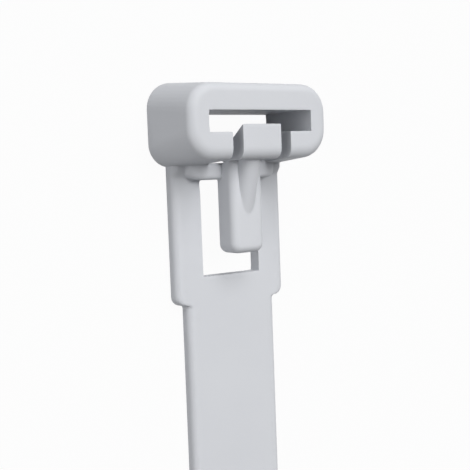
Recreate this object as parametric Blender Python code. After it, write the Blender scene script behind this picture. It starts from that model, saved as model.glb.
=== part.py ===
"""Releasable cable tie, moulded in one piece of light grey polyamide and lying on the back of its strap.

x runs across the strap, y along it towards the top of the head, and z up from the strap's back face.
The origin is on the back face, halfway along the tie. The tail goes in at the back of the head's slot
and comes out at its front. A pawl in the slot's lower wall stands free between two slits and turns on
a thin crossbar, and the lever below it hangs in front of the window in the neck: pressed towards the
window, it draws the pawl's crest out of the teeth.
"""

import math

import bmesh
import bpy
from mathutils import Vector

MM = 0.001

# Whole tie
OVERALL_LENGTH = 200.0 * MM
THICKNESS = 1.03 * MM
EDGE_RADIUS = 0.52 * MM
BACK_EDGE_RADIUS = 0.26 * MM

# Head. Heights along y are measured from the slot's upper wall, depths from the front face.
HEAD_WIDTH_BACK = 12.22 * MM
HEAD_WIDTH_FRONT = 11.6 * MM
HEAD_DEPTH = 5.356 * MM
HEAD_BACK_CLEARANCE = 0.05 * MM
HEAD_RISE_BACK = 2.22 * MM
HEAD_RISE_FRONT = 1.81 * MM
HEAD_DROP_BACK = 3.72 * MM
HEAD_DROP_FRONT = 3.27 * MM
HEAD_TOP_RADIUS_BACK = 1.88 * MM
HEAD_TOP_RADIUS_FRONT = 1.95 * MM
HEAD_BOTTOM_RADIUS_BACK = 1.65 * MM
HEAD_BOTTOM_RADIUS_FRONT = 1.98 * MM
HEAD_FRONT_RADIUS = 0.6 * MM
HEAD_FRONT_TOP_RADIUS = 0.53 * MM
HEAD_FRONT_BOTTOM_RADIUS = 0.8 * MM
HEAD_BACK_RADIUS = 0.3 * MM

# Slot for the tail, and the opening that makes the two slits and the window below them
SLOT_WIDTH = 8.65 * MM
SLOT_HEIGHT = 1.46 * MM
OPENING_WIDTH = 4.92 * MM
OPENING_TOP = 1.25 * MM
WINDOW_SILL = 11.56 * MM

# Pawl
PAWL_WIDTH = 3.24 * MM
PAWL_CREST = 0.91 * MM
PAWL_FOOT = 3.42 * MM
PAWL_DEPTH = 2.75 * MM
PAWL_BACK = 2.88 * MM

# Release lever and the rib on its face
LEVER_WIDTH = 2.76 * MM
LEVER_FRONT = 1.95 * MM
LEVER_BACK = 3.88 * MM
LEVER_BOTTOM = 9.91 * MM
LEVER_CORNER_RADIUS = 0.66 * MM
LEVER_FRONT_RADIUS = 0.52 * MM
LEVER_BACK_RADIUS = 0.26 * MM
LEVER_TOP = 3.02 * MM
LEVER_SHOULDER = 4.3 * MM
RIB_WIDTH = 1.52 * MM
RIB_TOP = 2.95 * MM
RIB_TIP = 7.15 * MM
RIB_ROUND_LENGTH = 2.3 * MM
RIB_RISE_NEAR_TIP = 0.07
RIB_RISE_CURVE = 0.05 / MM
RIB_FULLNESS = 2.5
RIB_SKIRT = 1.15
RIB_BACK = 2.6 * MM

# Crossbar, whose ends swell into bosses that flow into the rails and the head
BAR_TOP = 3.5 * MM
BAR_BOTTOM = 4.66 * MM
BAR_FRONT = 3.1 * MM
BAR_BACK = 4.62 * MM
BAR_RADIUS = 0.32 * MM
BOSS_START = 2.25 * MM
BOSS_RISE_END = 2.6 * MM
BOSS_TOP = 2.7 * MM
BOSS_FLARE_START = 2.62 * MM
BOSS_END = 3.82 * MM
BOSS_END_FRONT = 4.45 * MM
BOSS_END_BOTTOM = 4.1 * MM

# Neck, strap and tail
NECK_WIDTH = 9.48 * MM
NECK_BOTTOM = 13.5 * MM
SHOULDER_RADIUS = 0.65 * MM
COLLAR_THICKNESS = 1.36 * MM
COLLAR_TOP = 2.1 * MM
COLLAR_BOTTOM = 3.95 * MM
COLLAR_SLOPE = 0.45 * MM
STRAP_WIDTH = 7.64 * MM
SHOULDER_FILLET = (NECK_WIDTH - STRAP_WIDTH) / 2 - SHOULDER_RADIUS
TAIL_LENGTH = 14.0 * MM
TAIL_WIDTH = 4.6 * MM
TAIL_THICKNESS = 0.8 * MM
TAIL_RADIUS = 1.0 * MM

# Teeth, in a channel in the strap's back
TOOTH_PITCH = 1.5 * MM
TOOTH_START = 30.0 * MM
CHANNEL_WIDTH = 4.6 * MM
TOOTH_ROOT_DEPTH = 0.42 * MM
TOOTH_TIP_DEPTH = 0.07 * MM

# Smoothness of the round edges
CORNER_STEPS = 10
FILLET_STEPS = 7
SMALL_STEPS = 4

HEAD_TOP_SLOPE = (HEAD_RISE_BACK - HEAD_RISE_FRONT) / HEAD_DEPTH
HEAD_BOTTOM_SLOPE = (HEAD_DROP_BACK - HEAD_DROP_FRONT) / HEAD_DEPTH
HEAD_SIDE_SLOPE = (HEAD_WIDTH_BACK - HEAD_WIDTH_FRONT) / 2 / HEAD_DEPTH
HEAD_CROWN = HEAD_RISE_BACK - HEAD_TOP_SLOPE * (HEAD_BACK_CLEARANCE + HEAD_BACK_RADIUS)
SLOT_CEILING_Y = OVERALL_LENGTH / 2 - HEAD_CROWN
TIP_Y = -OVERALL_LENGTH / 2
REACH = 2.0 * MM


def place(x, depth, drop):
    """A point from its distance across, its depth behind the head's front and its drop below the slot's ceiling."""
    return Vector((x, SLOT_CEILING_Y - drop, HEAD_DEPTH - depth))


def quarter(radius, start, steps):
    """Offsets from an arc's centre over a quarter turn from the start angle in degrees."""
    angles = [math.radians(start + 90.0 * i / steps) for i in range(steps + 1)]
    return [(radius * math.cos(a), radius * math.sin(a)) for a in angles]


def rounded_outline(left, right, low, high, low_radius, high_radius, steps):
    """Points anticlockwise round a rectangle whose lower and upper corners have their own radii."""
    corners = (
        (right - high_radius, high - high_radius, high_radius, 0.0),
        (left + high_radius, high - high_radius, high_radius, 90.0),
        (left + low_radius, low + low_radius, low_radius, 180.0),
        (right - low_radius, low + low_radius, low_radius, 270.0),
    )
    points = []
    for centre_a, centre_b, radius, start in corners:
        for a, b in quarter(radius, start, steps):
            points.append((centre_a + a, centre_b + b))
    return points


def new_object(name, mesh_builder, helper=True):
    """An object from a bmesh. A helper is only used by a modifier and is left out of the part."""
    data = bpy.data.meshes.new(name)
    bmesh.ops.recalc_face_normals(mesh_builder, faces=mesh_builder.faces)
    mesh_builder.to_mesh(data)
    mesh_builder.free()
    made = bpy.data.objects.new(name, data)
    bpy.context.scene.collection.objects.link(made)
    if helper:
        made.hide_render = True
        made.display_type = "WIRE"
    return made


def loft(rings):
    """A closed solid through rings that have the same number of points."""
    shape = bmesh.new()
    rows = [[shape.verts.new(point) for point in ring] for ring in rings]
    count = len(rows[0])
    for row, following in zip(rows, rows[1:]):
        for i in range(count):
            j = (i + 1) % count
            shape.faces.new((row[i], row[j], following[j], following[i]))
    shape.faces.new(rows[0])
    shape.faces.new(rows[-1])
    return shape


def box(low, high):
    """A closed box between two corners."""
    shape = bmesh.new()
    bmesh.ops.create_cube(shape, size=1.0)
    for vert in shape.verts:
        for axis in range(3):
            vert.co[axis] = low[axis] if vert.co[axis] < 0 else high[axis]
    return shape


def prism(profile, left, right):
    """A closed solid from a profile of (depth, drop) points, between two places across."""
    return loft([[place(x, depth, drop) for depth, drop in profile] for x in (left, right)])


def mixed(start, end, share):
    """The value at a share of the way from start to end."""
    return start + (end - start) * share


def head_shape():
    """Outer form of the head: it tapers towards the front, and its front edge is rounded."""
    stations = []
    for across, along in quarter(1.0, 90.0, FILLET_STEPS):
        share = 1.0 + across
        insets = (
            share * HEAD_FRONT_RADIUS,
            share * HEAD_FRONT_TOP_RADIUS,
            share * HEAD_FRONT_BOTTOM_RADIUS,
        )
        stations.append((HEAD_FRONT_RADIUS * (1.0 - along), insets))
    back = HEAD_DEPTH - HEAD_BACK_CLEARANCE
    for across, along in quarter(HEAD_BACK_RADIUS, 0.0, SMALL_STEPS):
        inset = HEAD_BACK_RADIUS - across
        stations.append((back - HEAD_BACK_RADIUS + along, (inset, inset, inset)))
    rings = []
    for depth, (inset, top_inset, bottom_inset) in stations:
        rise = HEAD_RISE_FRONT + HEAD_TOP_SLOPE * depth - top_inset
        drop = HEAD_DROP_FRONT + HEAD_BOTTOM_SLOPE * depth - bottom_inset
        half = HEAD_WIDTH_FRONT / 2 + HEAD_SIDE_SLOPE * depth - inset
        share = depth / HEAD_DEPTH
        low_radius = mixed(HEAD_BOTTOM_RADIUS_FRONT, HEAD_BOTTOM_RADIUS_BACK, share)
        high_radius = mixed(HEAD_TOP_RADIUS_FRONT, HEAD_TOP_RADIUS_BACK, share)
        outline = rounded_outline(
            -half,
            half,
            -drop,
            rise,
            low_radius - inset,
            high_radius - inset,
            CORNER_STEPS,
        )
        rings.append([place(x, depth, -height) for x, height in outline])
    return loft(rings)


def strap_ring(y, half, thickness):
    """Section of the neck, strap or tail across its length."""
    front = min(EDGE_RADIUS, 0.6 * thickness)
    outline = rounded_outline(
        -half, half, 0.0, thickness, BACK_EDGE_RADIUS, front, FILLET_STEPS
    )
    return [Vector((x, y, z)) for x, z in outline]


def strap_shape():
    """Collar, neck, rounded shoulders, strap and tapered tail as one loft along y."""
    neck_half = NECK_WIDTH / 2
    strap_half = STRAP_WIDTH / 2
    rings = []
    for drop, thickness in (
        (COLLAR_TOP, COLLAR_THICKNESS),
        (COLLAR_BOTTOM, COLLAR_THICKNESS),
        (COLLAR_BOTTOM + COLLAR_SLOPE, THICKNESS),
    ):
        rings.append(strap_ring(SLOT_CEILING_Y - drop, neck_half, thickness))
    centre = NECK_BOTTOM - SHOULDER_RADIUS
    for across, along in quarter(SHOULDER_RADIUS, 0.0, FILLET_STEPS):
        y = SLOT_CEILING_Y - centre - along
        rings.append(strap_ring(y, neck_half - SHOULDER_RADIUS + across, THICKNESS))
    for across, along in quarter(SHOULDER_FILLET, 90.0, SMALL_STEPS)[1:]:
        y = SLOT_CEILING_Y - NECK_BOTTOM - SHOULDER_FILLET + along
        rings.append(strap_ring(y, strap_half + SHOULDER_FILLET + across, THICKNESS))
    rings.append(strap_ring(TIP_Y + TAIL_LENGTH, strap_half, THICKNESS))
    tail_half = TAIL_WIDTH / 2
    for across, along in quarter(TAIL_RADIUS, 0.0, FILLET_STEPS):
        y = TIP_Y + TAIL_RADIUS - along
        rings.append(strap_ring(y, tail_half - TAIL_RADIUS + across, TAIL_THICKNESS))
    return loft(rings)


def teeth_shape():
    """Cutter for the toothed channel: steep faces look towards the head, gentle ones towards the tip."""
    start = SLOT_CEILING_Y - TOOTH_START
    count = int((start - TIP_Y - TAIL_LENGTH) / TOOTH_PITCH)
    profile = [(start, -REACH)]
    for i in range(count):
        y = start - i * TOOTH_PITCH
        profile.append((y, TOOTH_TIP_DEPTH))
        profile.append((y - 0.86 * TOOTH_PITCH, TOOTH_ROOT_DEPTH))
        profile.append((y - 0.95 * TOOTH_PITCH, TOOTH_ROOT_DEPTH))
    profile.append((start - count * TOOTH_PITCH, TOOTH_TIP_DEPTH))
    profile.append((start - count * TOOTH_PITCH, -REACH))
    half = CHANNEL_WIDTH / 2
    return loft([[Vector((x, y, z)) for y, z in profile] for x in (-half, half)])


def pawl_shape():
    """Pawl block: face flush with the head's, crest at the front, and a ramp falling to the back."""
    slope = (PAWL_FOOT - HEAD_DROP_FRONT) / LEVER_FRONT
    foot = HEAD_DROP_FRONT + slope * HEAD_FRONT_RADIUS
    profile = [(0.0, PAWL_CREST)]
    for across, along in quarter(1.0, 90.0, FILLET_STEPS):
        depth = HEAD_FRONT_RADIUS * (1.0 - along)
        profile.append((depth, foot - HEAD_FRONT_BOTTOM_RADIUS * (1.0 + across)))
    profile.append((PAWL_DEPTH, PAWL_FOOT))
    profile.append((PAWL_DEPTH, PAWL_BACK))
    return prism(profile, -PAWL_WIDTH / 2, PAWL_WIDTH / 2)


def lever_shape():
    """Release lever: a rounded tongue whose top is joined to the pawl and to the crossbar."""
    stations = []
    for across, along in quarter(LEVER_FRONT_RADIUS, 90.0, FILLET_STEPS):
        depth = LEVER_FRONT + LEVER_FRONT_RADIUS - along
        stations.append((depth, LEVER_FRONT_RADIUS + across, LEVER_TOP))
    stations.append((PAWL_DEPTH, 0.0, LEVER_TOP))
    stations.append((LEVER_BACK - LEVER_BACK_RADIUS, 0.0, LEVER_SHOULDER))
    for across, along in quarter(LEVER_BACK_RADIUS, 0.0, SMALL_STEPS)[1:]:
        depth = LEVER_BACK - LEVER_BACK_RADIUS + along
        stations.append((depth, LEVER_BACK_RADIUS - across, LEVER_SHOULDER))
    rings = []
    for depth, inset, top in stations:
        half = LEVER_WIDTH / 2 - inset
        outline = rounded_outline(
            -half,
            half,
            inset - LEVER_BOTTOM,
            -top,
            LEVER_CORNER_RADIUS - inset,
            LEVER_BACK_RADIUS,
            FILLET_STEPS,
        )
        rings.append([place(x, depth, -height) for x, height in outline])
    return loft(rings)


def rib_ring(height):
    """Section of the rib at a height above its tip: a low arch whose feet reach a little into the lever."""
    share = max(0.0, 1.0 - height / RIB_ROUND_LENGTH)
    half = RIB_WIDTH / 2 * math.sqrt(1.0 - share**2)
    rise = RIB_RISE_NEAR_TIP * height + RIB_RISE_CURVE * height**2
    outline = [(RIB_SKIRT * half, RIB_BACK)]
    for i in range(2 * CORNER_STEPS + 1):
        across = RIB_SKIRT * math.cos(math.pi * i / (2 * CORNER_STEPS))
        outline.append((across * half, LEVER_FRONT - rise * (1.0 - abs(across) ** RIB_FULLNESS)))
    outline.append((-RIB_SKIRT * half, RIB_BACK))
    return [place(x, depth, RIB_TIP - height) for x, depth in outline]


def rib_shape():
    """Arched rib that stands out from the lever's face at the pawl's foot and fades into it below."""
    length = RIB_TIP - RIB_TOP
    heights = [length * share**2 for share in (0.1, 0.2, 0.32, 0.44, 0.56, 0.68, 0.8, 0.9, 1.0)]
    return loft([rib_ring(height) for height in heights])


def eased(value):
    """A smooth step from 0 to 1."""
    held = min(max(value, 0.0), 1.0)
    return held * held * (3.0 - 2.0 * held)


def bar_ring(x):
    """Section of the crossbar at one place across: it rises to the head and sinks into the rail."""
    reach = abs(x)
    rise = eased((reach - BOSS_START) / (BOSS_RISE_END - BOSS_START))
    turned = min(max((reach - BOSS_FLARE_START) / (BOSS_END - BOSS_FLARE_START), 0.0), 1.0)
    flare = 1.0 - math.sqrt(1.0 - turned**2)
    top = BAR_TOP + (BOSS_TOP - BAR_TOP) * rise
    bottom = BAR_BOTTOM + (BOSS_END_BOTTOM - BAR_BOTTOM) * flare
    front = BAR_FRONT + (BOSS_END_FRONT - BAR_FRONT) * flare
    radius = min(BAR_RADIUS, 0.45 * (BAR_BACK - front))
    back = BAR_BACK + (BAR_BACK - BAR_FRONT) * 0.2 * flare
    outline = rounded_outline(front, back, top, bottom, radius, radius, SMALL_STEPS)
    return [place(x, depth, drop) for depth, drop in outline]


def bar_shape():
    """Crossbar that the pawl and lever turn on: a rounded rod across the opening."""
    reaches = [0.0, BOSS_START]
    for i in range(1, 4):
        reaches.append(BOSS_START + (BOSS_RISE_END - BOSS_START) * i / 3)
    for i in range(9):
        turned = math.sin(math.pi / 2 * i / 8)
        reaches.append(BOSS_FLARE_START + (BOSS_END - BOSS_FLARE_START) * turned)
    places = [-reach for reach in reversed(reaches[1:])] + reaches
    return loft([bar_ring(x) for x in places])


def combine(target, operand, operation):
    """Join or cut the target with a helper by an exact boolean."""
    modifier = target.modifiers.new(operand.name, "BOOLEAN")
    modifier.operation = operation
    modifier.solver = "EXACT"
    modifier.object = operand


def polyamide():
    """Light grey moulded polyamide."""
    material = bpy.data.materials.new("moulded_polyamide")
    material.use_nodes = True
    shader = material.node_tree.nodes["Principled BSDF"]
    shader.inputs["Base Color"].default_value = (0.66, 0.67, 0.69, 1.0)
    shader.inputs["Roughness"].default_value = 0.45
    shader.inputs["Metallic"].default_value = 0.0
    return material


def main():
    for old in list(bpy.data.objects):
        bpy.data.objects.remove(old, do_unlink=True)

    tie = new_object("cable_tie", head_shape(), helper=False)
    tie.data.materials.append(polyamide())
    combine(tie, new_object("strap_form", strap_shape()), "UNION")

    half_slot = SLOT_WIDTH / 2
    slot = box(
        place(-half_slot, HEAD_DEPTH + REACH, SLOT_HEIGHT), place(half_slot, -REACH, 0.0)
    )
    combine(tie, new_object("slot_cutter", slot), "DIFFERENCE")

    half_opening = OPENING_WIDTH / 2
    opening = box(
        place(-half_opening, HEAD_DEPTH + REACH, WINDOW_SILL),
        place(half_opening, -REACH, OPENING_TOP),
    )
    combine(tie, new_object("opening_cutter", opening), "DIFFERENCE")
    combine(tie, new_object("teeth_cutter", teeth_shape()), "DIFFERENCE")

    combine(tie, new_object("crossbar_form", bar_shape()), "UNION")
    combine(tie, new_object("lever_form", lever_shape()), "UNION")
    combine(tie, new_object("pawl_form", pawl_shape()), "UNION")
    combine(tie, new_object("rib_form", rib_shape()), "UNION")


main()
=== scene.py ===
"""Look of a releasable cable tie that lies on its back: its moulding in polyamide, and its stage.

Sizes of the tie are in millimetres, and those of the floor and the lamps in metres. The frame is in
metres, with x across the strap, y along it towards the top of the head and z up from the strap's back.
Operators make the moulding, set the stage and aim the camera, from the settings in the sidebar panel.
"""

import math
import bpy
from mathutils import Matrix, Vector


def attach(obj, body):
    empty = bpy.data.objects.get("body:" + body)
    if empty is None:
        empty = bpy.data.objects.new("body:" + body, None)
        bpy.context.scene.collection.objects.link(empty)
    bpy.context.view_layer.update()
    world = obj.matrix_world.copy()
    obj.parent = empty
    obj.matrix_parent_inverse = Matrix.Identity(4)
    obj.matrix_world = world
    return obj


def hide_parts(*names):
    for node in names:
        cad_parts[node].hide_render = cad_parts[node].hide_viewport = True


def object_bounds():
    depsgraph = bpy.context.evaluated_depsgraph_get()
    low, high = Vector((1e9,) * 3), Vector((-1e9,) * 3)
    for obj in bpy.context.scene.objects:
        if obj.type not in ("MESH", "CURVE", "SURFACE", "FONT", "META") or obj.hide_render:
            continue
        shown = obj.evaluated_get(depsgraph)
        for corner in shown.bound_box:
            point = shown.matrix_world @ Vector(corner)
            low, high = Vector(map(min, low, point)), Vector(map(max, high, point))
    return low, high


bl_info = {
    "name": "Releasable cable tie",
    "version": (1, 0, 0),
    "blender": (4, 5, 0),
    "location": "3D View > Sidebar > Cable tie",
    "description": "Finishes the packed cable tie as moulded polyamide on a lit floor",
    "category": "Object",
}

import bmesh
import bpy
from bpy.props import FloatProperty, FloatVectorProperty, IntProperty, PointerProperty, StringProperty
from mathutils import Matrix, Vector

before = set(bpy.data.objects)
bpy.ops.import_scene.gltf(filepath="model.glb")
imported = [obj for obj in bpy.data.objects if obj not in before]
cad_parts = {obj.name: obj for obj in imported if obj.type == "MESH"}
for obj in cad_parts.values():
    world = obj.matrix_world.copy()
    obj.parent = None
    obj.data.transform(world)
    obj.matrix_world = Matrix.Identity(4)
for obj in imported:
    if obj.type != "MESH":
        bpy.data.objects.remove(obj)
CAD_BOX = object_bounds()
TIE_NODE = "cable_tie"
MM = 0.001

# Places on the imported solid, in mm. A drop is measured down the strap from the slot's upper wall, and a
# depth back from the head's front.
HEAD_ABOVE_SLOT = 2.193
SLOT_CEILING = CAD_BOX[1].y / MM - HEAD_ABOVE_SLOT
HEAD_FRONT = CAD_BOX[1].z / MM
SLOT_HALF = 4.325
SLOT_HEIGHT = 1.46
WINDOW_HALF = 2.46
WINDOW_SILL = 11.56
LEVER_DEPTH = 1.95
RIB_TOP_DROP = 2.95
RIB_TIP_DROP = 7.15
RIB_ROOT = 0.3
CHANNEL_REACH = 0.5
CHANNEL_HALF = 2.35

# Distances from a corner, in mm, up to which an edge stays sharp and from which it is fully rounded.
CORNER_EASE = (0.12, 0.35)

# The crossbar and its bosses, in mm: where the blend starts, is full, begins to fade and ends. In depth
# it goes on to the back.
BAR_DROPS = (2.6, 3.0, 5.0, 5.6)
BAR_SIDES = (1.3, 1.7, 4.4, 4.6)
BAR_DEPTHS = (2.9, 3.1)

# Making of the mesh: in mm, the end that is meshed and cut off again, and three tolerances. Then the
# steps round the rib and the limits of the remesh modifier.
SPARE_END = 1.5
WELD = 1e-4
ON_PLANE = 1e-5
ON_RIM = 1e-3
RIB_STEPS = 24
REMESH_DEPTH = 8
REMESH_LIMIT = 0.98

# The picture's side, focal length and shift in pixels, the sensor in mm, and the clips in metres.
PICTURE_SIDE = 470.0
FOCAL_PIXELS = 935.1
SHIFT_PIXELS = (-0.2, 0.6)
SENSOR_WIDTH = 36.0
CLIP_START = 0.001
CLIP_END = 20.0

# In metres: how far the lamps stand from their aim, how far that is below the top of the head, and the
# floor's gap under the tie.
LAMP_DISTANCE = 1.2
AIM_DROP = 0.008
FLOOR_GAP = 0.00002


class TieMouldingSettings(bpy.types.PropertyGroup):
    """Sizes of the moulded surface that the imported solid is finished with."""

    grid: FloatProperty(
        name="Surface grid",
        description="Side of the small squares that the head and neck are meshed with, in mm",
        default=0.1,
        min=0.06,
        max=0.4,
    )
    joint_drop: FloatProperty(
        name="Fine length",
        description="How far below the top of the head the fine mesh ends on the plain strap, in mm",
        default=18.0,
        min=17.0,
        max=30.0,
    )
    joint_gap: FloatProperty(
        name="Seam length",
        description="Length of the band that joins the fine mesh to the strap's, in mm",
        default=0.4,
        min=0.1,
        max=2.0,
    )
    edge_passes: IntProperty(
        name="Edge passes",
        description="Smoothing passes that take the sharpness off every moulded edge",
        default=2,
        min=0,
        max=30,
    )
    blend_passes: IntProperty(
        name="Blend passes",
        description="Smoothing passes where the crossbar flows into the rails and the lever",
        default=8,
        min=0,
        max=60,
    )
    rib_radius: FloatProperty(
        name="Rib radius",
        description="Radius of the half-round rib on the front of the release lever, in mm",
        default=0.76,
        min=0.4,
        max=1.1,
    )
    rib_slope: FloatProperty(
        name="Rib slope",
        description="How much the rib's crest rises from the lever for each mm above its tip",
        default=0.29,
        min=0.1,
        max=0.34,
    )
    sharp_angle: FloatProperty(
        name="Sharp angle",
        description="Edges that bend more than this stay sharp",
        default=math.radians(38.0),
        subtype="ANGLE",
    )
    tooth_angle: FloatProperty(
        name="Tooth sharp angle",
        description="Edges of the teeth that bend more than this stay sharp",
        default=math.radians(6.0),
        subtype="ANGLE",
    )


class TieFinishSettings(bpy.types.PropertyGroup):
    """Colour and texture of the polyamide."""

    colour: StringProperty(
        name="Colour",
        description="sRGB hex value of the light grey polyamide",
        default="D6D8DC",
    )
    flow_colour: StringProperty(
        name="Flow colour",
        description="sRGB hex value of the faint cloudy streaks where the melt flowed",
        default="D1D3D8",
    )
    ior: FloatProperty(
        name="IOR",
        description="Refractive index of polyamide",
        default=1.53,
        min=1.0,
        max=2.5,
    )
    roughness: FloatProperty(
        name="Roughness",
        description="Middle roughness of the moulded surface",
        default=0.56,
        min=0.0,
        max=1.0,
    )
    roughness_spread: FloatProperty(
        name="Roughness spread",
        description="How far the flow marks take the roughness to either side",
        default=0.04,
        min=0.0,
        max=0.2,
    )
    gloss: FloatProperty(
        name="Gloss",
        description="Strength of the reflection, under half of a polished surface's",
        default=0.2,
        min=0.0,
        max=1.0,
    )
    grain: FloatProperty(
        name="Grain",
        description="Width of one grain of the spark-eroded mould texture, in mm",
        default=0.16,
        min=0.02,
        max=2.0,
    )
    grain_height: FloatProperty(
        name="Grain height",
        description="Height of the grain, in mm",
        default=0.01,
        min=0.0,
        max=0.1,
    )
    flow: FloatProperty(
        name="Flow marks",
        description="Width of one cloudy flow mark, in mm",
        default=5.0,
        min=0.5,
        max=50.0,
    )


class TieStageSettings(bpy.types.PropertyGroup):
    """Floor, lamps and camera."""

    floor_side: FloatProperty(
        name="Floor side",
        description="Side of the square floor, in metres",
        default=8.0,
        subtype="DISTANCE",
    )
    floor_colour: StringProperty(
        name="Floor colour",
        description="sRGB hex value of the pale floor",
        default="B4B5B7",
    )
    floor_white: FloatProperty(
        name="Floor white",
        description="Share of plain white that the camera sees in the floor. The rest keeps the shadow",
        default=0.96,
        min=0.0,
        max=1.0,
        subtype="FACTOR",
    )
    sky: FloatProperty(
        name="Sky",
        description="Brightness of the even studio light from all round",
        default=0.09,
        min=0.0,
    )
    key: FloatProperty(
        name="Key lamp",
        description="Brightness of the main lamp, nearly straight above the head",
        default=0.64,
        min=0.0,
    )
    top: FloatProperty(
        name="Top lamp",
        description="Brightness of the lower lamp beyond the top of the head",
        default=0.42,
        min=0.0,
    )
    left: FloatProperty(
        name="Left lamp",
        description="Brightness of the low lamp that lights the left side of the head",
        default=0.42,
        min=0.0,
    )
    lens: FloatProperty(
        name="Lens",
        description="Focal length for the 36 mm sensor, in mm",
        default=FOCAL_PIXELS * SENSOR_WIDTH / PICTURE_SIDE,
    )
    position: FloatVectorProperty(
        name="Camera position",
        description="Where the camera stands, in mm",
        default=(-38.596, SLOT_CEILING - 3.753, HEAD_FRONT + 51.381),
        size=3,
    )
    turn: FloatVectorProperty(
        name="Camera turn",
        description="Turn round the head, tilt along the strap and roll",
        default=(math.radians(35.005), math.radians(4.253), math.radians(-2.145)),
        size=3,
        subtype="EULER",
    )
    shift: FloatVectorProperty(
        name="Picture shift",
        description="Shift of the picture's middle, as a share of its width",
        default=(SHIFT_PIXELS[0] / PICTURE_SIDE, SHIFT_PIXELS[1] / PICTURE_SIDE),
        size=2,
    )


def linear(hex_value):
    """Linear colour from an sRGB hex value."""
    channels = []
    for i in (0, 2, 4):
        share = int(hex_value[i : i + 2], 16) / 255.0
        channels.append(share / 12.92 if share <= 0.04045 else ((share + 0.055) / 1.055) ** 2.4)
    return (*channels, 1.0)


def add_node(tree, kind, settings=None, links=None):
    """A new node with its settings and inputs. An input is a (node, output) link or a value."""
    made = tree.nodes.new(kind)
    for name, value in (settings or {}).items():
        setattr(made, name, value)
    for name, source in (links or {}).items():
        if isinstance(source, tuple) and isinstance(source[0], bpy.types.Node):
            tree.links.new(source[0].outputs[source[1]], made.inputs[name])
        else:
            made.inputs[name].default_value = source
    return made


def empty_material(name):
    """A material with nothing but its output node."""
    material = bpy.data.materials.new(name)
    material.use_nodes = True
    material.node_tree.nodes.clear()
    output = add_node(material.node_tree, "ShaderNodeOutputMaterial")
    return material, material.node_tree, output


def moulded_polyamide(look):
    """Injection-moulded polyamide 6.6, light grey and pigmented.

    It looks satin and slightly waxy: a soft wide highlight, fine spark-eroded grain copied from the mould,
    and barely visible cloudy streaks where the melt flowed.
    """
    material, tree, output = empty_material("moulded_polyamide")
    place = add_node(tree, "ShaderNodeTexCoord")
    flow = add_node(
        tree,
        "ShaderNodeTexNoise",
        {"noise_dimensions": "3D"},
        {"Vector": (place, "Object"), "Scale": 1.0 / (look.flow * MM), "Detail": 3.0, "Roughness": 0.55},
    )
    # Inputs 6 and 7 and output 2 are the mix node's colours.
    cloud = add_node(
        tree,
        "ShaderNodeMix",
        {"data_type": "RGBA"},
        {0: (flow, "Fac"), 6: linear(look.flow_colour), 7: linear(look.colour)},
    )
    # The real grain is about 0.03 mm and too fine to show, so it is drawn several times as coarse.
    grain = add_node(
        tree,
        "ShaderNodeTexNoise",
        {"noise_dimensions": "3D"},
        {"Vector": (place, "Object"), "Scale": 1.0 / (look.grain * MM), "Detail": 2.0, "Roughness": 0.5},
    )
    bump = add_node(
        tree,
        "ShaderNodeBump",
        {},
        {"Strength": 0.25, "Distance": look.grain_height * MM, "Height": (grain, "Fac")},
    )
    satin = add_node(
        tree,
        "ShaderNodeMapRange",
        {},
        {
            "Value": (flow, "Fac"),
            "From Min": 0.3,
            "From Max": 0.7,
            "To Min": look.roughness - look.roughness_spread,
            "To Max": look.roughness + look.roughness_spread,
        },
    )
    shader = add_node(
        tree,
        "ShaderNodeBsdfPrincipled",
        {},
        {
            "Base Color": (cloud, 2),
            "Roughness": (satin, "Result"),
            "IOR": look.ior,
            "Specular IOR Level": look.gloss,
            "Metallic": 0.0,
            "Normal": (bump, "Normal"),
        },
    )
    tree.links.new(shader.outputs["BSDF"], output.inputs["Surface"])
    return material


def pale_floor(stage):
    """Matt painted board. The camera and reflections see it nearly white, with a faint shadow."""
    material, tree, output = empty_material("matt_painted_board")
    paint = add_node(
        tree,
        "ShaderNodeBsdfPrincipled",
        {},
        {"Base Color": linear(stage.floor_colour), "Roughness": 0.9},
    )
    white = add_node(tree, "ShaderNodeEmission", {}, {"Color": (1.0, 1.0, 1.0, 1.0), "Strength": 1.0})
    path = add_node(tree, "ShaderNodeLightPath")
    direct = add_node(
        tree,
        "ShaderNodeMath",
        {"operation": "MAXIMUM"},
        {0: (path, "Is Camera Ray"), 1: (path, "Is Glossy Ray")},
    )
    seen = add_node(
        tree,
        "ShaderNodeMath",
        {"operation": "MAXIMUM"},
        {0: (direct, 0), 1: (path, "Is Transmission Ray")},
    )
    share = add_node(
        tree,
        "ShaderNodeMath",
        {"operation": "MULTIPLY"},
        {0: (seen, 0), 1: stage.floor_white},
    )
    mix = add_node(tree, "ShaderNodeMixShader", {}, {0: (share, 0), 1: (paint, 0), 2: (white, 0)})
    tree.links.new(mix.outputs[0], output.inputs["Surface"])
    return material


def studio_sky(stage):
    """Even light from all round, white where the camera sees it."""
    world = bpy.data.worlds.new("studio")
    bpy.context.scene.world = world
    world.use_nodes = True
    tree = world.node_tree
    tree.nodes.clear()
    path = add_node(tree, "ShaderNodeLightPath")
    seen = add_node(
        tree,
        "ShaderNodeMath",
        {"operation": "MAXIMUM"},
        {0: (path, "Is Camera Ray"), 1: (path, "Is Transmission Ray")},
    )
    strength = add_node(
        tree,
        "ShaderNodeMapRange",
        {},
        {"Value": (seen, 0), "To Min": stage.sky, "To Max": 1.0},
    )
    background = add_node(
        tree,
        "ShaderNodeBackground",
        {},
        {"Color": (1.0, 1.0, 1.0, 1.0), "Strength": (strength, "Result")},
    )
    output = add_node(tree, "ShaderNodeOutputWorld")
    tree.links.new(background.outputs[0], output.inputs["Surface"])


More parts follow.
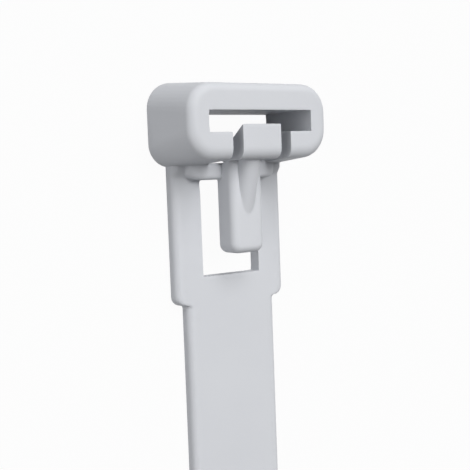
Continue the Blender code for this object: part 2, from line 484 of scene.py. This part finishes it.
def kept_side(node, y, head_side):
    """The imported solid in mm, with its vertices joined, on one side of a plane across the strap."""
    shape = bmesh.new()
    shape.from_mesh(node.data)
    bmesh.ops.scale(shape, vec=(1 / MM, 1 / MM, 1 / MM), verts=shape.verts)
    bmesh.ops.remove_doubles(shape, verts=shape.verts, dist=WELD)
    cut(shape, y, head_side)
    return shape


def cut(shape, y, head_side):
    """Cut a shape across the strap and keep the side towards the head or the one towards the tail."""
    bmesh.ops.bisect_plane(
        shape,
        geom=shape.verts[:] + shape.edges[:] + shape.faces[:],
        dist=ON_PLANE,
        plane_co=(0.0, y, 0.0),
        plane_no=(0.0, 1.0, 0.0),
        clear_inner=head_side,
        clear_outer=not head_side,
    )


def rim(shape, y):
    """Open edges that lie across the strap at y."""
    edges = [edge for edge in shape.edges if edge.is_boundary]
    return [edge for edge in edges if all(abs(vert.co.y - y) < ON_RIM for vert in edge.verts)]


def evaluated_mesh(piece):
    """The piece's mesh with its modifiers applied."""
    graph = bpy.context.evaluated_depsgraph_get()
    return bpy.data.meshes.new_from_object(piece.evaluated_get(graph))


def eased_share(value, start, end):
    """A smooth step from 0 at start to 1 at end."""
    share = min(max((value - start) / (end - start), 0.0), 1.0)
    return share * share * (3.0 - 2.0 * share)


def eased_band(value, start, full, fading, end):
    """A smooth rise from 0 at start to 1 at full, and a smooth fall from fading to 0 at end."""
    return eased_share(value, start, full) * (1.0 - eased_share(value, fading, end))


def edge_weight(point):
    """How far a point's edge may be rounded: not at all in the corners of the slot and the window."""
    drop = SLOT_CEILING - point.y
    across = abs(point.x)
    corners = ((SLOT_HALF, 0.0), (SLOT_HALF, SLOT_HEIGHT), (WINDOW_HALF, WINDOW_SILL))
    nearest = min(math.hypot(across - x, drop - y) for x, y in corners)
    return eased_share(nearest, *CORNER_EASE)


def blend_weight(point):
    """How strongly a point is blended: fully on the crossbar and the foot of its bosses."""
    along = eased_band(SLOT_CEILING - point.y, *BAR_DROPS)
    sideways = eased_band(abs(point.x), *BAR_SIDES)
    deep = eased_share(HEAD_FRONT - point.z, *BAR_DEPTHS)
    return along * sideways * deep


def smooth_group(piece, name, weigh, passes):
    """Smooth the piece's surface in a few passes, each point as much as weigh says."""
    group = piece.vertex_groups.new(name=name)
    for vert in piece.data.vertices:
        weight = weigh(vert.co)
        if weight > 0.0:
            group.add([vert.index], weight, "REPLACE")
    modifier = piece.modifiers.new(name, "SMOOTH")
    modifier.iterations = passes
    modifier.vertex_group = name


def form_object(name, shape):
    """A passing object made of a finished shape."""
    data = bpy.data.meshes.new(name)
    shape.to_mesh(data)
    shape.free()
    made = bpy.data.objects.new(name, data)
    bpy.context.scene.collection.objects.link(made)
    return made


def leaning_rib(sizes):
    """Half-round rod that leans out of the lever's face, from its sunken tip up to the pawl."""
    shape = bmesh.new()
    rings = []
    radius = sizes.rib_radius
    lever_face = HEAD_FRONT - LEVER_DEPTH
    for height in (-RIB_ROOT, RIB_TIP_DROP - RIB_TOP_DROP):
        middle = sizes.rib_slope * height - radius
        foot = min(middle, 0.0) - RIB_ROOT
        outline = [(radius, foot)]
        for i in range(RIB_STEPS + 1):
            angle = math.pi * i / RIB_STEPS
            outline.append((radius * math.cos(angle), middle + radius * math.sin(angle)))
        outline.append((-radius, foot))
        y = SLOT_CEILING - RIB_TIP_DROP + height
        rings.append([shape.verts.new((x, y, lever_face + rise)) for x, rise in outline])
    tip, top = rings
    for i in range(len(tip)):
        j = (i + 1) % len(tip)
        shape.faces.new((tip[i], tip[j], top[j], top[i]))
    shape.faces.new(tip)
    shape.faces.new(top)
    bmesh.ops.recalc_face_normals(shape, faces=shape.faces)
    return shape


def fine_head(node, sizes, joint_y):
    """The head and neck on a fine even grid, with rounded edges and blends, open at the joint."""
    shape = kept_side(node, joint_y - SPARE_END, True)
    bmesh.ops.holes_fill(shape, edges=[edge for edge in shape.edges if edge.is_boundary], sides=0)
    form = form_object("head_form", shape)
    rib = form_object("rib_form", leaning_rib(sizes))
    union = form.modifiers.new("rib", "BOOLEAN")
    union.operation = "UNION"
    union.solver = "EXACT"
    union.object = rib
    remesh = form.modifiers.new("grid", "REMESH")
    remesh.mode = "SHARP"
    remesh.octree_depth = REMESH_DEPTH
    remesh.scale = min(REMESH_LIMIT, max(form.dimensions) / (sizes.grid * 2**REMESH_DEPTH))
    form.data = evaluated_mesh(form)
    form.modifiers.clear()
    bpy.data.objects.remove(rib)
    smooth_group(form, "edges", edge_weight, sizes.edge_passes)
    smooth_group(form, "blends", blend_weight, sizes.blend_passes)
    shape = bmesh.new()
    shape.from_mesh(evaluated_mesh(form))
    bpy.data.objects.remove(form)
    cut(shape, joint_y, True)
    return shape


def among_teeth(point, strap_y):
    """Whether a point lies in the toothed channel on the strap's back."""
    return point.y < strap_y and point.z < CHANNEL_REACH and abs(point.x) < CHANNEL_HALF


def crisp_edges(shape, sizes, strap_y):
    """Shade the rounded faces smoothly and keep the sharp edges, with a finer limit among the teeth."""
    for face in shape.faces:
        face.smooth = True
    for edge in shape.edges:
        toothed = all(among_teeth(vert.co, strap_y) for vert in edge.verts)
        limit = sizes.tooth_angle if toothed else sizes.sharp_angle
        edge.smooth = edge.calc_face_angle(0.0) < limit


def joined_moulding(node, sizes):
    """One closed mesh: the fine head and neck, a narrow band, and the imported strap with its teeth."""
    joint_y = CAD_BOX[1].y / MM - sizes.joint_drop
    strap_y = joint_y - sizes.joint_gap
    shape = fine_head(node, sizes, joint_y)
    strap = kept_side(node, strap_y, False)
    strap_data = bpy.data.meshes.new("strap_form")
    strap.to_mesh(strap_data)
    strap.free()
    shape.from_mesh(strap_data)
    bpy.data.meshes.remove(strap_data)
    bmesh.ops.bridge_loops(shape, edges=rim(shape, joint_y) + rim(shape, strap_y))
    bmesh.ops.recalc_face_normals(shape, faces=shape.faces)
    crisp_edges(shape, sizes, strap_y)
    bmesh.ops.scale(shape, vec=(MM, MM, MM), verts=shape.verts)
    data = bpy.data.meshes.new("tie_moulding")
    shape.to_mesh(data)
    shape.free()
    return data


class TIE_OT_make_moulding(bpy.types.Operator):
    """Make the tie's single moulding in polyamide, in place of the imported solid"""

    bl_idname = "cable_tie.make_moulding"
    bl_label = "Make the moulding"

    def execute(self, context):
        sizes = context.scene.tie_moulding
        data = joined_moulding(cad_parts[TIE_NODE], sizes)
        moulding = bpy.data.objects.new("tie_moulding", data)
        context.scene.collection.objects.link(moulding)
        flats = moulding.modifiers.new("flat_faces", "WEIGHTED_NORMAL")
        flats.keep_sharp = True
        data.materials.append(moulded_polyamide(context.scene.tie_finish))
        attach(moulding, "root")
        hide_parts(TIE_NODE)
        return {"FINISHED"}


def plain_floor(stage):
    """A wide flat floor just under the tie."""
    half = stage.floor_side / 2
    level = CAD_BOX[0].z - FLOOR_GAP
    corners = ((-half, -half), (half, -half), (half, half), (-half, half))
    shape = bmesh.new()
    shape.faces.new([shape.verts.new((x, y, level)) for x, y in corners])
    data = bpy.data.meshes.new("floor")
    shape.to_mesh(data)
    shape.free()
    data.materials.append(pale_floor(stage))
    floor = bpy.data.objects.new("floor", data)
    bpy.context.scene.collection.objects.link(floor)


def wide_lamp(name, brightness, direction, side):
    """A square lamp that looks at the head. Brightness is what a white board facing it would show."""
    aim = Vector((0.0, CAD_BOX[1].y - AIM_DROP, 0.0))
    lamp = bpy.data.lights.new(name, "AREA")
    lamp.shape = "SQUARE"
    lamp.size = side
    lamp.energy = brightness * math.pi * (math.pi * LAMP_DISTANCE**2)
    made = bpy.data.objects.new(name, lamp)
    towards = Vector(direction).normalized()
    made.location = aim + towards * LAMP_DISTANCE
    made.rotation_euler = towards.to_track_quat("Z", "Y").to_euler()
    bpy.context.scene.collection.objects.link(made)


class TIE_OT_set_stage(bpy.types.Operator):
    """Set the pale floor, the even sky and the lamps"""

    bl_idname = "cable_tie.set_stage"
    bl_label = "Set the stage"

    def execute(self, context):
        stage = context.scene.tie_stage
        context.scene.view_settings.view_transform = "Standard"
        studio_sky(stage)
        plain_floor(stage)
        wide_lamp("key_lamp", stage.key, direction=(0.15, 0.3, 0.94), side=0.6)
        wide_lamp("top_lamp", stage.top, direction=(0.0, 0.71, 0.71), side=0.6)
        wide_lamp("left_lamp", stage.left, direction=(-1.0, 0.0, 0.1), side=1.0)
        return {"FINISHED"}


def camera_placing(stage):
    """The camera's matrix: it looks along ahead, with up towards the top of the picture."""
    turn, tilt, roll = stage.turn
    ahead = Vector((math.sin(turn) * math.cos(tilt), -math.sin(tilt), -math.cos(turn) * math.cos(tilt)))
    level = Vector((math.cos(turn), 0.0, math.sin(turn)))
    upright = level.cross(ahead)
    right = level * math.cos(roll) + upright * math.sin(roll)
    up = upright * math.cos(roll) - level * math.sin(roll)
    placing = Matrix((right, up, -ahead)).transposed().to_4x4()
    placing.translation = Vector(stage.position) * MM
    return placing


class TIE_OT_aim_camera(bpy.types.Operator):
    """Stand the camera where it looks at the head from the left, in front"""

    bl_idname = "cable_tie.aim_camera"
    bl_label = "Aim the camera"

    def execute(self, context):
        stage = context.scene.tie_stage
        camera = bpy.data.objects.new("camera", bpy.data.cameras.new("camera"))
        camera.data.sensor_width = SENSOR_WIDTH
        camera.data.lens = stage.lens
        camera.data.shift_x = stage.shift[0]
        camera.data.shift_y = stage.shift[1]
        camera.data.clip_start = CLIP_START
        camera.data.clip_end = CLIP_END
        camera.matrix_world = camera_placing(stage)
        context.scene.collection.objects.link(camera)
        context.scene.camera = camera
        return {"FINISHED"}


class TIE_PT_sidebar(bpy.types.Panel):
    """Settings and steps of the cable tie"""

    bl_idname = "TIE_PT_sidebar"
    bl_label = "Cable tie"
    bl_space_type = "VIEW_3D"
    bl_region_type = "UI"
    bl_category = "Cable tie"

    def draw(self, context):
        for group in (context.scene.tie_moulding, context.scene.tie_finish, context.scene.tie_stage):
            box = self.layout.box()
            for name in group.__annotations__:
                box.prop(group, name)
        for step in STEPS:
            self.layout.operator(step.bl_idname)


STEPS = (TIE_OT_aim_camera, TIE_OT_make_moulding, TIE_OT_set_stage)
CLASSES = (TieMouldingSettings, TieFinishSettings, TieStageSettings, *STEPS, TIE_PT_sidebar)


def register():
    """Register the classes and give the scene its settings."""
    for entry in CLASSES:
        bpy.utils.register_class(entry)
    bpy.types.Scene.tie_moulding = PointerProperty(type=TieMouldingSettings)
    bpy.types.Scene.tie_finish = PointerProperty(type=TieFinishSettings)
    bpy.types.Scene.tie_stage = PointerProperty(type=TieStageSettings)


def unregister():
    """Take the settings and the classes away again."""
    del bpy.types.Scene.tie_stage
    del bpy.types.Scene.tie_finish
    del bpy.types.Scene.tie_moulding
    for entry in reversed(CLASSES):
        bpy.utils.unregister_class(entry)


def main():
    """Make the picture's scene."""
    register()
    bpy.ops.cable_tie.aim_camera()
    bpy.ops.cable_tie.make_moulding()
    bpy.ops.cable_tie.set_stage()


if __name__ == "__main__":
    main()
